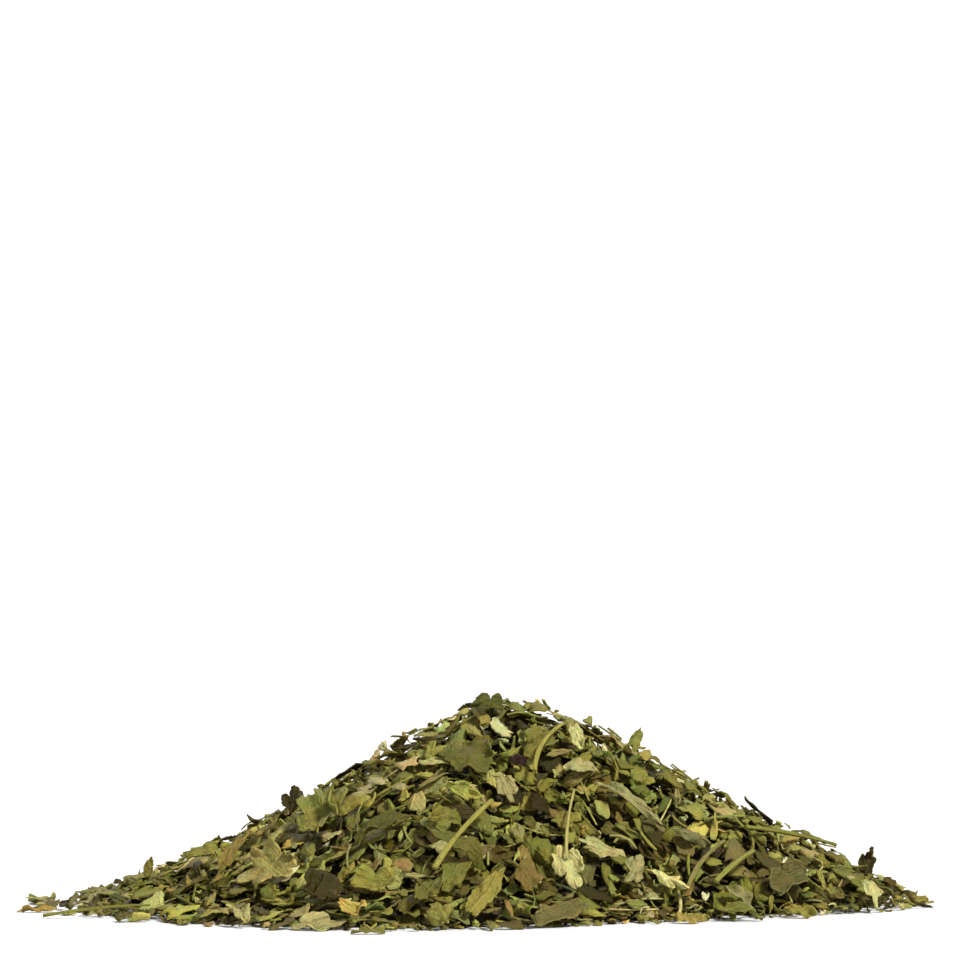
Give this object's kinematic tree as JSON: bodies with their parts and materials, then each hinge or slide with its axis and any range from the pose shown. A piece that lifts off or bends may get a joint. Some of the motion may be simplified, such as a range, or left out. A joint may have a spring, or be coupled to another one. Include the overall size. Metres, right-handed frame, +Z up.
{
  "type": "heap of dried cut coriander leaves",
  "caption": "Loose heap of dried cut coriander: crumpled leaf pieces, a few whole leaflets, stem bits and tan scraps, resting on a flat foot.",
  "frame": {"origin": "on the surface the heap lies on, at the bottom centre of its box", "axes": "+Z up, +X along the heap's length, from its long thin skirt towards its fuller end, and -Y towards its front"},
  "size_m": [0.1911, 0.1461, 0.0455],
  "materials": {
    "leaf_green": "matt dried olive-green leaf",
    "leaf_fresh": "matt dried bright-green leaf",
    "leaf_dark": "matt dried dark-green leaf",
    "leaf_grey": "matt dried grey-green leaf underside",
    "leaf_pale": "matt dried pale leaf underside",
    "leaf_yellow": "matt dried yellow-green leaf",
    "leaf_brown": "matt withered brown leaf",
    "leaf_tan": "matt withered tan leaf",
    "leaf_red": "matt dark red-brown withered bit",
    "stem_yellow": "dull ribbed yellow stem",
    "stem_straw": "dull ribbed straw stem",
    "stem_grey": "dull ribbed grey stem",
    "stem_fresh": "dull ribbed fresh stem",
    "stem_green": "dull ribbed green stem"
  },
  "bodies": {
    "root": {"heap_of_cut_leaves": "leaf_green", "lobed_leaf_left": "leaf_fresh", "dark_leaf_left": "leaf_dark", "folded_leaf_left": "leaf_grey", "domed_leaf_left": "leaf_dark", "toothed_leaf_left": "leaf_green", "gutter_leaf_left": "leaf_green", "skirt_leaf_left": "leaf_green", "upright_leaf_left": "leaf_green", "rolled_leaf_left": "leaf_pale", "pale_leaf_front": "leaf_pale", "yellow_leaf_front": "leaf_yellow", "arched_leaf_front": "leaf_green", "tongue_leaf_front": "leaf_green", "slanting_leaf_front": "leaf_yellow", "brown_leaf_front": "leaf_brown", "broad_leaf_front": "leaf_grey", "pale_leaf_middle": "leaf_pale", "small_leaf_middle": "leaf_green", "pale_leaf_right": "leaf_pale", "hanging_leaf_top": "leaf_pale", "bright_leaf_top": "leaf_fresh", "lobed_leaf_middle": "leaf_green", "broad_leaf_top": "leaf_green", "lobed_leaf_top": "leaf_green", "narrow_leaf_top": "leaf_pale", "oval_leaf_top": "leaf_pale", "upright_leaf_right": "leaf_fresh", "finger_leaf_right": "leaf_pale", "notched_leaf_right": "leaf_pale", "broad_leaf_right": "leaf_grey", "pale_leaf_far_right": "leaf_pale", "curled_leaf_far_right": "leaf_yellow", "upright_leaf_far_right": "leaf_dark", "yellow_leaf_right": "leaf_yellow", "ground_leaf_right": "leaf_green", "long_leaf_right_upper": "leaf_pale", "long_leaf_right_lower": "leaf_pale", "top_leaf": "leaf_green", "lobed_leaf_back": "leaf_fresh", "broad_leaf_back": "leaf_grey", "ground_leaf_back": "leaf_green", "scrap_front": "leaf_green", "ground_leaf_back_left": "leaf_grey", "ground_leaf_back_right": "leaf_pale", "tan_strip_left": "leaf_tan", "tan_tip_far_left": "leaf_tan", "tan_leaf_front": "leaf_tan", "red_bit_top": "leaf_red", "tan_bit_right": "leaf_tan", "folded_leaf_front": "leaf_green", "curled_leaf_right": "leaf_pale", "green_stem_front": "stem_yellow", "straw_front": "stem_straw", "knobbed_stem_top": "stem_yellow", "grey_stem_right": "stem_grey", "green_stem_right": "stem_fresh", "stem_far_left": "stem_green", "stem_far_right": "stem_green", "stem_back": "stem_yellow"}
  },
  "joints": []
}
